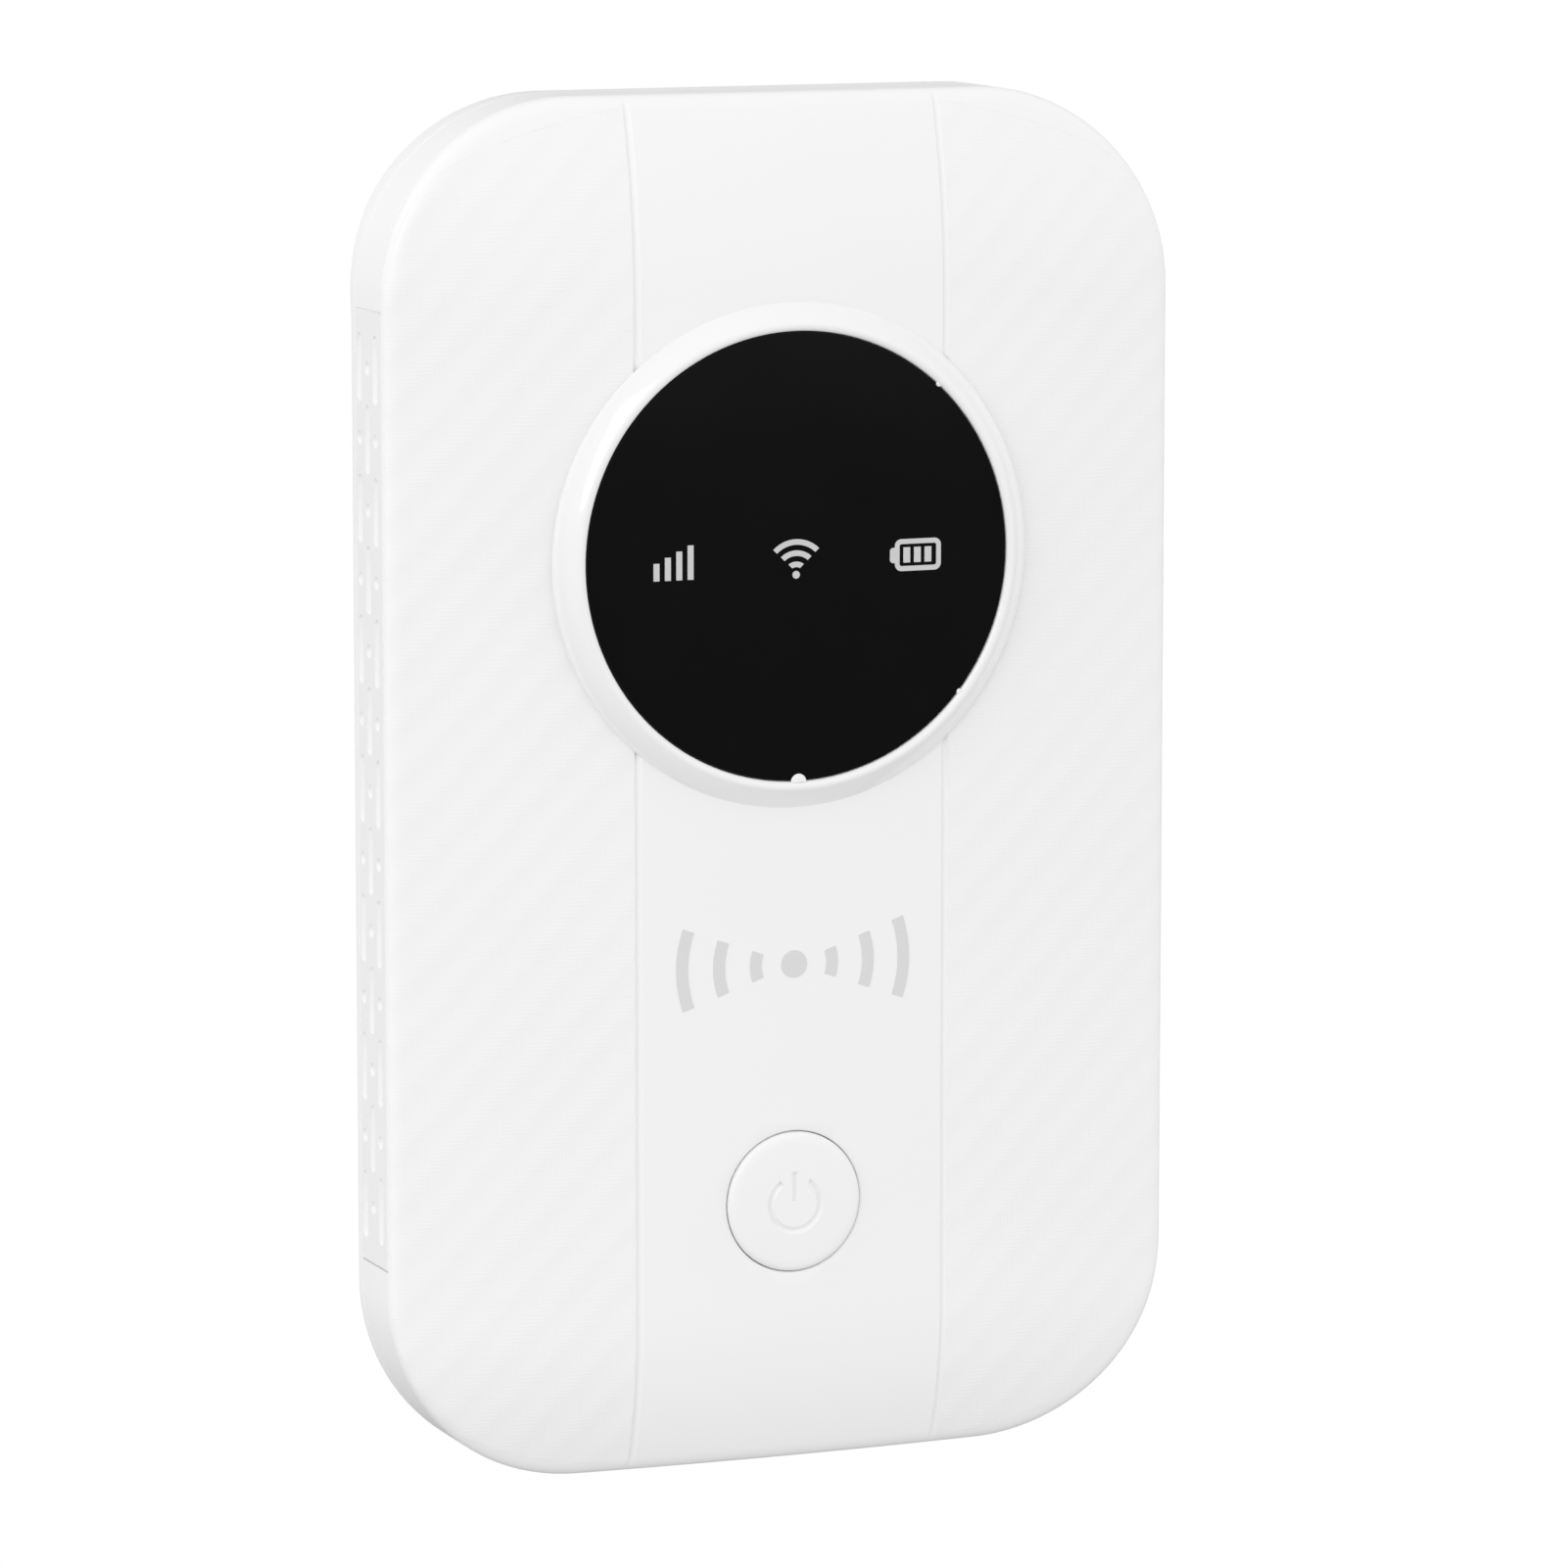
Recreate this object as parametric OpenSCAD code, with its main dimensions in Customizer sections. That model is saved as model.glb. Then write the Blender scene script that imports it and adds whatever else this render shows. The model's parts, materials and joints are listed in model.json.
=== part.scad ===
// Pocket mobile hotspot with a round status display and a removable battery.
//
// Every piece is drawn as it lies on a bench, on its back: X runs across the
// body, Y from the bottom end to the top end and Z out of the display.
// stand() then sets the piece upright on the bottom end, display towards -Y.
// All lengths are in millimetres.

/* [Body] */
// Width across the side walls
body_w = 60; // [58:0.5:64]
// Height from the bottom end to the top end
body_h = 99; // [97:0.5:104]
// Depth from the middle of the front face to the back face
body_d = 13; // [13:0.1:14]
// Radius of the four corners seen from the front
corner_r = 14.4; // [13:0.1:15.5]
// Thickness of the frame's outer wall
wall_t = 1.5; // [1.4:0.05:1.7]
// Thickness of the front shell
front_t = 1.3; // [1.1:0.05:1.4]
// Thickness of the back cover
back_t = 1.2; // [1:0.05:1.3]

/* [Curves] */
// How far the front face falls from its middle line to its side edges
crown_fall = 1.9; // [1.4:0.1:2]
// How far the front face falls at the top end
top_fall = 2.3; // [1.8:0.1:2.4]
// Length over which it falls at the top end
top_len = 14.4; // [12:0.1:15]
// How far the front face falls at the bottom end
bottom_fall = 2.2; // [1.8:0.1:2.4]
// Length over which it falls at the bottom end
bottom_len = 11; // [10:0.1:13]
// How far the back face falls at its rounded edge
back_fall = 3.7; // [3.4:0.1:3.8]
// Width of the rounded edge of the back face
back_len = 10; // [9:0.1:11]

/* [Display] */
// Height of the display's centre above the bottom end
disc_y = 66.2; // [64:0.1:67]
// Radius of the black window
disc_r = 16.1; // [15.5:0.1:16.3]
// Outer radius of the raised ring
ring_r = 18.1; // [17.6:0.1:18.3]
// Height of the ring above the front face
ring_rise = 1.0; // [0.8:0.05:1.1]

/* [Power button] */
// Height of the button's centre above the bottom end
button_y = 19.4; // [18:0.1:21]
// Radius of the button cap
button_r = 5.1; // [4.8:0.1:5.4]
// Gap between the cap and the front shell
button_gap = 0.15; // [0.1:0.01:0.2]
// Height of the cap above the front face
button_rise = 0.25; // [0.1:0.05:0.4]

/* [Trim] */
// Distance of each long groove from the middle line
groove_x = 11.8; // [11:0.1:12.5]
// Width of each groove
groove_w = 0.36; // [0.3:0.02:0.5]
// Depth of each groove
groove_d = 0.3; // [0.2:0.05:0.4]
// Length of each side strip
strip_len = 68.3; // [66:0.1:69]
// Height of the side strips' centre above the bottom end
strip_y = 50.1; // [49.5:0.1:50.5]
// Distance from one slot to the next in a column
slot_pitch = 10; // [9.8:0.05:10]
// Length of a slot
slot_len = 4.9; // [4:0.1:5]
// Width of a slot, which is also the diameter of a dot
slot_w = 1.0; // [0.8:0.05:1.1]
// Depth of the slots and dots
slot_d = 0.25; // [0.15:0.05:0.3]

/* [Battery] */
// Width of the battery
battery_w = 44; // [40:0.5:44]
// Height of the battery
battery_h = 52; // [46:0.5:52]
// Thickness of the battery
battery_t = 4.2; // [3.8:0.1:4.2]

/* [Hidden] */

// Levels above the middle of the whole depth
back_z = -(body_d + ring_rise) / 2;
face_z = back_z + body_d;
crest_z = face_z + ring_rise;
rear_seam_z = face_z - 8.3;
web_top_z = face_z - 6.3;
web_bottom_z = web_top_z - 0.7;
board_top_z = face_z - 3.9;
board_t = 0.8;
board_bottom_z = board_top_z - board_t;

// Large smooth curves and small round details
smooth = 360;
fine = 96;
small = 32;

// Radius of an arc that falls by drop over a length of run
function arc_radius(run, drop) = (run * run + drop * drop) / (2 * drop);
crown_r = arc_radius(body_w / 2, crown_fall);
top_r = arc_radius(top_len, top_fall);
bottom_r = arc_radius(bottom_len, bottom_fall);
back_r = arc_radius(back_len, back_fall);
// The end arcs stand this much proud, so that they cross the crown cleanly
arc_proud = 0.05;

// Joint between the front shell's brim and the frame
brim_t = 0.65;
seam_gap = 0.1;
fit_gap = 0.15;
lip_t = 0.9;
lip_z = board_top_z - 0.6;

// Display stack
seat_z = face_z - 0.8;
ledge_r = disc_r - 0.9;
ledge_t = 0.55;
adhesive_t = 0.1;
window_t = 1.0;
window_z = seat_z + ledge_t + adhesive_t;
window_top_z = window_z + window_t;
ink_t = 0.04;
icon_y = disc_y - 0.2;

// Printed mark on the front face
mark_y = 36.75;
mark_dot_r = 1;
wave_radii = [3.4, 6.2, 9];
wave_t = 0.9;
wave_angle = 19.5;

// Status lights, one well behind each icon
light_x = [-9.4, 0, 9.4];
well_size = [5, 4];
well_wall_t = 0.8;

// Power button and its switch
switch_w = 4.5;
switch_h = 1.15;
plunger_r = 0.9;
plunger_gap = 0.05;
plunger_top_z = board_top_z + 1.55;
flange_r = button_r + 1.1;
flange_t = 0.5;
flange_z = face_z - front_t - 0.7;

// Side strips
strip_t = 0.8;
strip_top_z = face_z - crown_fall - brim_t - fit_gap;
strip_bottom_z = rear_seam_z + seam_gap;
column_z = [1.95, 0.25, -1.45];
groups = 7;

// Screws that hold the front shell to the frame
boss_r = 1.9;
screw_r = 0.65;
screw_gap = 0.05;
screw_head_r = 1.3;
screw_head_t = 0.6;
screw_len = 4;
boss_top_z = face_z - 2.2;
screw_places = [
    for (s = [-1, 1]) each [
        [s * (body_w / 2 - 8), 12],
        [s * (body_w / 2 - 4), 46],
        [s * (body_w / 2 - 4), 80]
    ]
];

// Battery bay
battery_z = web_bottom_z - 0.1;
battery_y = 36;
battery_gap = 0.3;
rib_t = 0.8;
cap_h = 3;
block_y = battery_y - 4.5;
block_size = [14, 3.4];
contact_x = [-4.5, -1.5, 1.5, 4.5];
pad_w = 2;
pad_low_z = battery_z - 3.4;
pad_high_z = battery_z - 1;

// Parts on the board
shield_t = 0.2;
shield_h = 1.4;
usb_w = 7.5;
usb_h = 2.6;
usb_y = 0.6;
usb_len = 5.8;
sim_size = [15, 13.5];
sim_place = [12, 22];
reset_place = [-12, 14];
reset_w = 3.2;
reset_h = 0.8;
reset_r = 0.6;
modem_y = 72;
power_place = [-10, 46];
antenna_t = 0.2;
low_antenna_place = [14, 6.8];
low_antenna_size = [12, 4];

// Sets a piece that lies on its back upright on the bottom end
module stand() {
    rotate([90, 0, 0]) children();
}

// Outline of the body seen from the front, drawn in by inset
module outline(inset = 0) {
    r = corner_r - inset;
    w = body_w - 2 * inset;
    h = body_h - 2 * inset;
    translate([-w / 2, inset + r]) square([w, h - 2 * r]);
    translate([-w / 2 + r, inset]) square([w - 2 * r, h]);
    for (x = [-w / 2 + r, w / 2 - r], y = [inset + r, inset + h - r])
        translate([x, y]) circle(r = r, $fn = smooth);
}

// Block with the body's outline between two levels
module slab(inset, low_z, high_z) {
    translate([0, 0, low_z])
        linear_extrude(height = high_z - low_z) outline(inset);
}

// Straight box centred on x and y, between two levels
module box(size, low_z, high_z) {
    translate([-size[0] / 2, -size[1] / 2, low_z])
        cube([size[0], size[1], high_z - low_z]);
}

// What an end arc takes away from a block; the arc starts at y = 0
module end_cut(run, r, top_z) {
    reach = r + 1;
    difference() {
        translate([-body_w, 0, top_z - r])
            cube([2 * body_w, run + 2, reach]);
        translate([-body_w - 1, 0, top_z - r])
            rotate([0, 90, 0]) cylinder(r = r, h = 2 * body_w + 2, $fn = smooth);
    }
}

// Everything below the crowned front face, which is lowered by drop
module front_form(drop, inset, low_z) {
    top_z = face_z - drop;
    difference() {
        intersection() {
            slab(inset, low_z, face_z + 1);
            translate([0, -1, top_z - crown_r]) rotate([-90, 0, 0])
                cylinder(r = crown_r, h = body_h + 2, $fn = 2 * smooth);
        }
        translate([0, body_h - top_len, 0]) end_cut(top_len, top_r, top_z + arc_proud);
        translate([0, bottom_len, 0]) mirror([0, 1, 0])
            end_cut(bottom_len, bottom_r, top_z + arc_proud);
    }
}

// Level at which the back's rounded edge meets the wall that is drawn in by inset
function back_edge_z(inset) =
    back_z + back_r - sqrt(pow(back_r - inset, 2) - pow(back_len - inset, 2));

// Upright section through the back's rounded edge; x = 0 is a corner's centre
module back_section(inset, front_z) {
    reach = corner_r - inset;
    flat = corner_r - back_len;
    low_z = back_z + inset;
    edge_z = back_edge_z(inset);
    translate([0, low_z]) square([flat, front_z - low_z]);
    translate([0, edge_z]) square([reach, front_z - edge_z]);
    intersection() {
        translate([flat, low_z]) square([reach - flat, edge_z - low_z]);
        translate([flat, back_z + back_r]) circle(r = back_r - inset, $fn = smooth);
    }
}

// Block with the body's outline and the rounded back edge all round it
module back_form(inset, front_z) {
    far_x = body_w / 2 - corner_r;
    near_y = corner_r;
    far_y = body_h - corner_r;
    corners = [[far_x, far_y, 0], [-far_x, far_y, 90], [-far_x, near_y, 180], [far_x, near_y, 270]];
    for (c = corners) translate([c[0], c[1], 0]) rotate([0, 0, c[2]])
        rotate_extrude(angle = 90, $fn = smooth) back_section(inset, front_z);
    for (s = [0, 1]) mirror([s, 0, 0]) translate([far_x, far_y, 0]) rotate([90, 0, 0])
        linear_extrude(height = far_y - near_y) back_section(inset, front_z);
    translate([-far_x, far_y, 0]) rotate([90, 0, 90])
        linear_extrude(height = 2 * far_x) back_section(inset, front_z);
    translate([far_x, near_y, 0]) rotate([90, 0, -90])
        linear_extrude(height = 2 * far_x) back_section(inset, front_z);
    translate([-far_x, near_y, back_z + inset])
        cube([2 * far_x, far_y - near_y, front_z - back_z - inset]);
}

// Flat stadium lying along Y
module stadium(len, w) {
    translate([-w / 2, -(len - w) / 2]) square([w, len - w]);
    for (s = [-1, 1]) translate([0, s * (len - w) / 2]) circle(d = w, $fn = small);
}

// One V-shaped groove that runs the whole height of the front face
module groove() {
    half = groove_w / 2;
    difference() {
        translate([-half, -1, 0]) cube([groove_w, body_h + 2, crest_z]);
        front_form(groove_d, -1, -1);
    }
}

module front_shell() stand() color("white") difference() {
    union() {
        difference() {
            front_form(0, 0, lip_z);
            front_form(brim_t, -1, lip_z - 1);
        }
        difference() {
            front_form(arc_proud, wall_t + fit_gap, lip_z);
            front_form(front_t, wall_t + fit_gap + lip_t, lip_z - 1);
        }
        for (p = screw_places) translate([p[0], p[1], web_top_z])
            cylinder(r = boss_r, h = boss_top_z - web_top_z, $fn = small);
    }
    translate([0, disc_y, seat_z]) cylinder(r = ring_r + seam_gap / 2, h = 5, $fn = fine);
    translate([0, disc_y, 0]) cylinder(r = ledge_r, h = crest_z, $fn = fine);
    translate([0, button_y, 0]) cylinder(r = button_r + button_gap, h = crest_z, $fn = fine);
    for (s = [-1, 1]) translate([s * groove_x, 0, 0]) groove();
    for (p = screw_places) translate([p[0], p[1], web_top_z - 1])
        cylinder(r = screw_r + screw_gap, h = screw_len + 0.6, $fn = small);
}

module display_ring() stand() color("white") translate([0, disc_y, 0]) union() {
    tab_r = 0.6;
    rotate_extrude($fn = 2 * fine) polygon([
        [ledge_r, seat_z],
        [ring_r, seat_z],
        [ring_r, face_z],
        [ring_r - 0.15, face_z + 0.02],
        [disc_r + 0.65, crest_z - 0.06],
        [disc_r + 0.4, crest_z],
        [disc_r, crest_z - 0.2],
        [disc_r, seat_z + ledge_t],
        [ledge_r, seat_z + ledge_t]
    ]);
    translate([0, tab_r - disc_r - 0.5, window_top_z]) difference() {
        cylinder(r = tab_r, h = 2 * ink_t, $fn = small);
        translate([-1, -1 - tab_r, -1]) cube([2, 1, 2]);
    }
}

module display_window() stand() color("black") translate([0, disc_y, window_z])
    cylinder(r = disc_r - 0.05, h = window_t, $fn = 2 * fine);

module window_adhesive() stand() color("dimgray") translate([0, disc_y, seat_z + ledge_t])
    difference() {
        cylinder(r = disc_r - 0.1, h = adhesive_t, $fn = fine);
        translate([0, 0, -1]) cylinder(r = ledge_r + 0.1, h = 2, $fn = fine);
    }

// Four bars that grow from left to right
module signal_icon() stand() color("lightgray") for (i = [0:3])
    translate([-11.05 + 0.86 * i, icon_y - 1.05, window_top_z])
        cube([0.45, 1.25 + 0.4 * i, ink_t]);

// Three arcs over a dot
module wifi_icon() stand() color("lightgray") translate([-0.2, icon_y - 1.05, window_top_z]) {
    linear_extrude(height = ink_t) for (r = [0.95, 1.75, 2.55]) intersection() {
        difference() {
            circle(r = r, $fn = fine);
            circle(r = r - 0.4, $fn = fine);
        }
        polygon([[0, 0.2], [3, 3], [-3, 3]]);
    }
    cylinder(r = 0.28, h = ink_t, $fn = small);
}

// Rectangle with round corners, its low left corner at the origin
module rounded(size, r) {
    translate([r, 0]) square([size[0] - 2 * r, size[1]]);
    translate([0, r]) square([size[0], size[1] - 2 * r]);
    for (x = [r, size[0] - r], y = [r, size[1] - r])
        translate([x, y]) circle(r = r, $fn = small);
}

// Battery outline with a terminal on its left and three cells inside
module battery_icon() stand() color("lightgray") translate([7.4, icon_y - 1.15, window_top_z]) {
    case_size = [3.56, 2.3];
    line_t = 0.36;
    cell_h = 1.1;
    cell_y = (case_size[1] - cell_h) / 2;
    linear_extrude(height = ink_t) {
        difference() {
            rounded(case_size, 0.5);
            translate([line_t, line_t]) rounded(case_size - 2 * [line_t, line_t], 0.16);
        }
        translate([-0.38, cell_y]) rounded([0.6, cell_h], 0.25);
        for (i = [0:2]) translate([0.66 + 0.82 * i, cell_y]) square([0.52, cell_h]);
    }
}

// Printed pictogram: a dot with waves on both sides
module mark_outline() {
    reach = wave_radii[2] + 2;
    rise = reach * tan(wave_angle);
    circle(r = mark_dot_r, $fn = fine);
    for (s = [0, 1], r = wave_radii) mirror([s, 0]) intersection() {
        difference() {
            circle(r = r, $fn = fine);
            circle(r = r - wave_t, $fn = fine);
        }
        polygon([[0, 0], [reach, rise], [reach, -rise]]);
    }
}

// The ink follows the crown of the front face
module front_mark() stand() color("gray") difference() {
    intersection() {
        translate([0, mark_y, 0]) linear_extrude(height = crest_z) mark_outline();
        front_form(-ink_t, 1, 1);
    }
    front_form(0, 0.5, 0);
}

module power_button() stand() color("white") translate([0, button_y, 0]) {
    top_z = face_z + button_rise;
    sign_r = 1.9;
    line_w = 0.42;
    engrave = 0.15;
    stem_r = 1.2;
    difference() {
        union() {
            rotate_extrude($fn = fine) polygon([
                [0, flange_z],
                [flange_r, flange_z],
                [flange_r, flange_z + flange_t],
                [button_r, flange_z + flange_t],
                [button_r, top_z - 0.25],
                [button_r - 0.25, top_z],
                [0, top_z]
            ]);
            translate([0, 0, plunger_top_z])
                cylinder(r = stem_r, h = flange_z - plunger_top_z + 0.1, $fn = small);
        }
        translate([0, -0.35, top_z - engrave]) linear_extrude(height = 1) difference() {
            circle(r = sign_r + line_w / 2, $fn = fine);
            circle(r = sign_r - line_w / 2, $fn = fine);
            polygon([[0, 0], [-1.75, 3], [1.75, 3]]);
        }
        translate([-line_w / 2, 0, top_z - engrave]) cube([line_w, 2.3, 1]);
    }
}

module power_switch() stand() color("dimgray") translate([0, button_y, board_top_z]) difference() {
    box([switch_w, switch_w], 0, switch_h);
    translate([0, 0, 0.2]) cylinder(r = plunger_r + plunger_gap, h = 2, $fn = small);
}

module power_plunger() stand() color("black") translate([0, button_y, board_top_z + 0.5])
    cylinder(r = plunger_r, h = plunger_top_z - board_top_z - 0.5, $fn = small);

// Black block that keeps the light of the three icons apart
module light_baffle() stand() color("black") translate([0, disc_y, 0]) {
    plate_t = 0.8;
    plate_z = window_z - 0.1 - plate_t;
    outer = well_size + 2 * [well_wall_t, well_wall_t];
    difference() {
        union() {
            translate([0, 0, plate_z]) cylinder(r = ledge_r - 0.3, h = plate_t, $fn = fine);
            for (x = light_x) translate([x, 0, 0]) box(outer, board_top_z, plate_z + plate_t / 2);
        }
        for (x = light_x) translate([x, 0, 0]) box(well_size, board_top_z - 1, window_z + 1);
    }
}

module status_leds() stand() color("ivory") for (x = light_x, s = [-1, 1])
    translate([x + 1.1 * s, disc_y, 0]) box([0.8, 1.6], board_top_z, board_top_z + 0.6);

module mid_frame() stand() color("whitesmoke") difference() {
    union() {
        difference() {
            front_form(brim_t + seam_gap, 0, rear_seam_z);
            slab(wall_t, rear_seam_z - 1, face_z + 2);
        }
        slab(wall_t - 0.3, web_bottom_z, web_top_z);
        difference() {
            slab(2.8, web_top_z - 0.1, board_bottom_z);
            slab(3.8, web_top_z - 1, board_bottom_z + 1);
        }
        // Rib that locates the battery
        translate([0, battery_y + battery_h / 2, 0]) difference() {
            box([battery_w + 2 * (battery_gap + rib_t), battery_h + 2 * (battery_gap + rib_t)],
                rear_seam_z + 0.2, web_bottom_z + 0.1);
            box([battery_w + 2 * battery_gap, battery_h + 2 * battery_gap], rear_seam_z - 1, web_bottom_z);
        }
    }
    for (s = [-1, 1]) translate([s * body_w / 2, strip_y, 0])
        box([2 * strip_t, strip_len + seam_gap], strip_bottom_z - seam_gap, face_z);
    for (p = screw_places) translate([p[0], p[1], 0]) {
        translate([0, 0, web_bottom_z - 1]) cylinder(r = screw_r + screw_gap, h = 3, $fn = small);
        translate([0, 0, web_top_z]) cylinder(r = boss_r + fit_gap, h = 5, $fn = small);
    }
    // Mouth of the USB port, and the space behind it
    box([usb_w + 0.8, 2 * (usb_y + usb_len + 0.4)], board_bottom_z - usb_h - 0.3, board_bottom_z + 0.3);
    // Windows in the web
    translate([0, block_y + 2.2, 0]) box(block_size + [1, 2], rear_seam_z - 1, web_top_z + 0.1);
    translate([sim_place[0], sim_place[1], 0])
        box([sim_size[0] + 2, sim_size[1] + 2], rear_seam_z - 1, web_top_z + 0.1);
    translate([reset_place[0], reset_place[1], web_bottom_z - 1]) cylinder(r = 1, h = 3, $fn = small);
}

// Side trim: slots in all three columns, and a dot beside the middle of each
module side_strip() {
    module column(count, y0, len) {
        for (i = [0:count - 1]) translate([y0 + slot_pitch * i, 0]) rotate(90) stadium(len, slot_w);
    }
    first = -slot_pitch * (groups - 1) / 2;
    dot_len = slot_w + 0.01;
    color("white") difference() {
        translate([body_w / 2 - strip_t, strip_y - strip_len / 2, strip_bottom_z])
            cube([strip_t, strip_len, strip_top_z - strip_bottom_z]);
        translate([body_w / 2 - slot_d, strip_y, 0]) rotate([90, 0, 90]) linear_extrude(height = 1) {
            for (z = [column_z[0], column_z[2]]) translate([0, z]) {
                column(groups, first, slot_len);
                column(groups - 1, first + slot_pitch / 2, dot_len);
            }
            translate([0, column_z[1]]) {
                column(groups - 1, first + slot_pitch / 2, slot_len);
                column(groups, first, dot_len);
            }
        }
    }
}

module left_side_strip() stand() mirror([1, 0, 0]) side_strip();

module right_side_strip() stand() side_strip();

module frame_screws() stand() color("silver") for (p = screw_places)
    translate([p[0], p[1], web_bottom_z]) difference() {
        union() {
            translate([0, 0, -screw_head_t]) cylinder(r = screw_head_r, h = screw_head_t, $fn = small);
            translate([0, 0, -0.1]) cylinder(r = screw_r, h = screw_len + 0.1, $fn = small);
        }
        for (a = [0, 90]) rotate([0, 0, a]) box([1.5, 0.35], -screw_head_t - 1, -screw_head_t + 0.35);
    }

module main_board() stand() color("darkgreen") difference() {
    slab(2.8, board_bottom_z, board_top_z);
    translate([0, body_h, 0]) box([body_w, 17], board_bottom_z - 1, board_top_z + 1);
    for (p = screw_places) translate([p[0], p[1], board_bottom_z - 1])
        cylinder(r = boss_r + 0.3, h = 3, $fn = small);
}

// Pressed can, open towards the board
module shield(size, height) {
    difference() {
        box(size, 0, height);
        box([size[0] - 2 * shield_t, size[1] - 2 * shield_t], -1, height - shield_t);
    }
}

module wifi_shield() stand() color("silver") translate([0, 38, board_top_z]) shield([22, 16], 1.6);

module modem_shield() stand() color("silver") translate([0, modem_y, board_bottom_z])
    mirror([0, 0, 1]) shield([34, 26], shield_h);

module modem_chip() stand() color("black") translate([-6, modem_y, board_bottom_z])
    mirror([0, 0, 1]) box([13, 13], 0, 0.9);

module memory_chip() stand() color("black") translate([9, modem_y, board_bottom_z])
    mirror([0, 0, 1]) box([9, 11.5], 0, 0.9);

module power_shield() stand() color("silver") translate([power_place[0], power_place[1], board_bottom_z])
    mirror([0, 0, 1]) shield([22, 14], shield_h);

module power_chip() stand() color("black") translate([power_place[0] - 2, power_place[1], board_bottom_z])
    mirror([0, 0, 1]) box([6, 6], 0, 0.8);

module inductors() stand() color("dimgray") for (x = [-22, 22], y = [28, 33])
    translate([x, y, 0]) box([2.5, 2], board_top_z, board_top_z + 1);

module thermal_pad() stand() color("lightblue") translate([0, modem_y, 0])
    box([24, 18], web_top_z, board_bottom_z - shield_h);

module usb_shell() stand() color("silver") translate([0, usb_y, board_bottom_z - usb_h]) {
    sheet = 0.25;
    difference() {
        translate([-usb_w / 2, 0, 0]) cube([usb_w, usb_len, usb_h]);
        translate([-usb_w / 2 + sheet, -1, sheet])
            cube([usb_w - 2 * sheet, usb_len + 1 - sheet, usb_h - 2 * sheet]);
    }
}

module usb_tongue() stand() color("black") translate([0, usb_y, board_bottom_z - usb_h / 2]) {
    translate([-2.7, 0.6, -0.3]) cube([5.4, usb_len - 1.2, 0.6]);
    translate([-3.4, usb_len - 1.4, -1]) cube([6.8, 1.1, 2]);
}

module usb_contacts() stand() color("gold") for (i = [-2:2])
    translate([0.9 * i - 0.2, usb_y + 0.9, board_bottom_z - usb_h / 2 + 0.3]) cube([0.4, 3.3, 0.12]);

module sim_base() stand() color("black") translate([sim_place[0], sim_place[1], 0])
    box(sim_size, board_bottom_z - 0.4, board_bottom_z);

module sim_cover() stand() color("silver") translate([sim_place[0], sim_place[1], board_bottom_z - 0.4])
    mirror([0, 0, 1]) difference() {
        box(sim_size, 0, 1.1);
        translate([-1, 0, 0]) box([sim_size[0], sim_size[1] - 0.8], -1, 0.9);
        translate([-2, 0, 0]) box([7, 6], -1, 2);
    }

module sim_contacts() stand() color("gold") for (x = [-3, 0, 3], s = [-1, 1])
    translate([sim_place[0] + x - 1, sim_place[1] + 2.6 * s, 0])
        box([1.2, 3], board_bottom_z - 0.6, board_bottom_z - 0.4);

module reset_switch() stand() color("dimgray")
    translate([reset_place[0], reset_place[1], board_bottom_z]) mirror([0, 0, 1]) difference() {
        box([reset_w, reset_w], 0, reset_h);
        translate([0, 0, 0.2]) cylinder(r = reset_r + plunger_gap, h = 2, $fn = small);
    }

module reset_plunger() stand() color("ivory")
    translate([reset_place[0], reset_place[1], board_bottom_z - 1.2])
        cylinder(r = reset_r, h = 0.7, $fn = small);

// Black block beside the battery that carries its springs
module battery_block() stand() color("black") translate([0, block_y + 2, 0]) difference() {
    box(block_size, battery_z - battery_t + 0.8, board_bottom_z);
    for (x = contact_x) translate([x, block_size[1] / 2, 0])
        box([1.4, 1.6], battery_z - battery_t + 1.4, battery_z - 0.4);
}

// Leaf springs that press on the battery's pads
module battery_springs() stand() color("gold") for (x = contact_x)
    translate([x, block_y + 2, 0]) {
        translate([0, 1.05, 0]) box([1, 0.3], battery_z - battery_t + 1.6, battery_z - 0.6);
        translate([0, 1.8, 0]) box([1, 1.4], battery_z - 2.4, battery_z - 2.1);
    }

module main_antenna() stand() color("peru") {
    translate([0, 93, 0]) box([32, 4], web_top_z, web_top_z + antenna_t);
    translate([-12, 89.5, 0]) box([3, 4], web_top_z, web_top_z + antenna_t);
}

// Small antenna patch near the bottom end, on the right or, with side -1, on the left
module low_antenna(side) color("peru") translate([side * low_antenna_place[0], low_antenna_place[1], 0])
    box(low_antenna_size, web_top_z, web_top_z + antenna_t);

module diversity_antenna() stand() low_antenna(1);

module wifi_antenna() stand() low_antenna(-1);

// Bent clips that join the board to the antennas
module antenna_clips() stand() color("gold") for (p = [[-12, 88.6], [10, 7], [-10, 7]])
    translate([p[0], p[1], 0]) difference() {
        box([1.2, 2], web_top_z + antenna_t, board_bottom_z);
        translate([0, 0.4, 0]) box([2, 2], web_top_z + 2 * antenna_t, board_bottom_z - antenna_t);
    }

module bay_label() stand() color("white") translate([-13, 25, 0])
    box([18, 9], web_bottom_z - 0.05, web_bottom_z);

module battery_pack() stand() color("dimgray")
    translate([-battery_w / 2, battery_y + cap_h, battery_z - battery_t])
        linear_extrude(height = battery_t) rounded([battery_w, battery_h - cap_h], 1.5);

module battery_cap() stand() color("black") difference() {
    translate([0, battery_y + cap_h / 2, 0]) box([battery_w, cap_h], battery_z - battery_t, battery_z);
    for (x = contact_x) translate([x, battery_y, 0]) box([pad_w, 0.6], pad_low_z, pad_high_z);
}

module battery_pads() stand() color("gold") for (x = contact_x)
    translate([x, battery_y + 0.2, 0]) box([pad_w, 0.2], pad_low_z, pad_high_z);

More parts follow.
